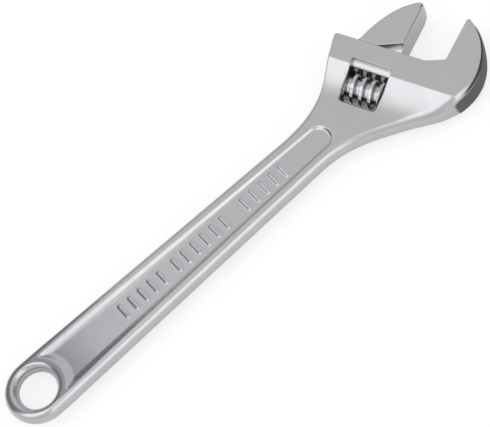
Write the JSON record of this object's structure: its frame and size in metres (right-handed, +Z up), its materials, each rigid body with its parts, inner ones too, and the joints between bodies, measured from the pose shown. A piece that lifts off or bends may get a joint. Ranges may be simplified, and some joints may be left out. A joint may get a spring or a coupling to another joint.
{
  "type": "adjustable wrench",
  "caption": "Chrome adjustable wrench with an angled head, a jaw that slides as its worm is turned, a recessed handle and a hang hole.",
  "frame": {"origin": "middle of the wrench's box in plan, on the plane of the head's lower face", "axes": "+X along the handle from the hang hole to the head, +Z up out of the head's upper face, +Y to the movable jaw's side"},
  "size_m": [0.3034, 0.076, 0.017],
  "materials": {
    "body_chrome": "satin chrome plate over a forging, bright on the scoop and rims",
    "jaw_chrome": "satin chrome plate",
    "worm_chrome": "bright chrome plate, dark in the thread",
    "pin_steel": "turned steel",
    "spring_steel": "drawn spring wire"
  },
  "bodies": {
    "body": {"wrench_body": "body_chrome", "worm_pin": "pin_steel", "worm_spring": "spring_steel"},
    "jaw": {"movable_jaw": "jaw_chrome"},
    "worm": {"adjusting_worm": "worm_chrome"}
  },
  "joints": [
    {"name": "jaw_slide", "type": "slide", "parent": "body", "child": "jaw", "axis": [-0.3827, 0.9239, 0], "range_m": [-0.0247, 0.011]},
    {"name": "worm_spin", "type": "hinge", "parent": "body", "child": "worm", "pos_m": [0.08853, 0.00502, 0.0085], "axis": [-0.3827, 0.9239, 0], "range_deg": [-780, 1750]}
  ],
  "couplings": [
    {"joint": "worm_spin", "follows": "jaw_slide", "rad_per_m": -1232}
  ]
}
